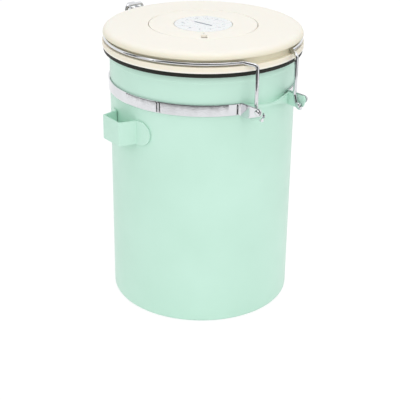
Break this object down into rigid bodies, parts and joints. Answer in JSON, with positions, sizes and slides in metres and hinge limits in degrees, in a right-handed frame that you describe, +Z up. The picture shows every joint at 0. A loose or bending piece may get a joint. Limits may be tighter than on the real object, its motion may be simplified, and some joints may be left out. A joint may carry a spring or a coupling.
{
  "type": "coffee canister",
  "caption": "Cylindrical steel canister with a hinged lid, wire clamp ring, over-centre latch, scoop hook and turning date dials, for keeping ground or whole coffee.",
  "frame": {"origin": "centre of the base's underside, on the can's axis", "axes": "+Z up along the can's axis, -Y towards the latch, +Y towards the lid's hinge, -X towards the scoop hook"},
  "size_m": [0.1328, 0.1481, 0.1802],
  "materials": {
    "mint_paint": "satin powder coat",
    "cream_plastic": "fine matte",
    "white_plastic": "smooth print face",
    "filter_felt": "matte felt",
    "black_silicone": "matte",
    "bright_steel": "bright",
    "plain_steel": "brushed"
  },
  "bodies": {
    "canister": {"body_shell": "mint_paint", "base_plate": "plain_steel", "band_strap": "bright_steel", "hinge_bracket": "bright_steel", "hinge_arch": "bright_steel", "scoop_hook": "mint_paint", "pivot_pin_left": "bright_steel", "pivot_pin_right": "bright_steel"},
    "lid": {"lid_cap": "cream_plastic", "lid_base": "cream_plastic", "lid_gasket": "black_silicone", "ring_wire": "bright_steel", "date_plate": "white_plastic", "valve_filter": "filter_felt", "valve_disc": "black_silicone", "valve_cover": "white_plastic"},
    "day_dial": {"day_ring": "cream_plastic"},
    "month_dial": {"month_disc": "white_plastic", "dial_clip": "plain_steel"},
    "lever": {"latch_lever": "mint_paint", "crank_pin_left": "bright_steel", "crank_pin_right": "bright_steel"}
  },
  "joints": [
    {"name": "lid_hinge", "type": "hinge", "parent": "canister", "child": "lid", "pos_m": [0, 0.07, 0.1783], "axis": [-1, 0, 0], "range_deg": [0, 105]},
    {"name": "lever_hinge", "type": "hinge", "parent": "canister", "child": "lever", "pos_m": [0, -0.0709, 0.146], "axis": [-1, 0, 0], "range_deg": [0, 180]},
    {"name": "day_dial_turn", "type": "hinge", "parent": "lid", "child": "day_dial", "pos_m": [0, 0, 0.178], "axis": [0, 0, 1], "continuous": true},
    {"name": "month_dial_turn", "type": "hinge", "parent": "lid", "child": "month_dial", "pos_m": [0, 0, 0.178], "axis": [0, 0, 1], "continuous": true}
  ]
}
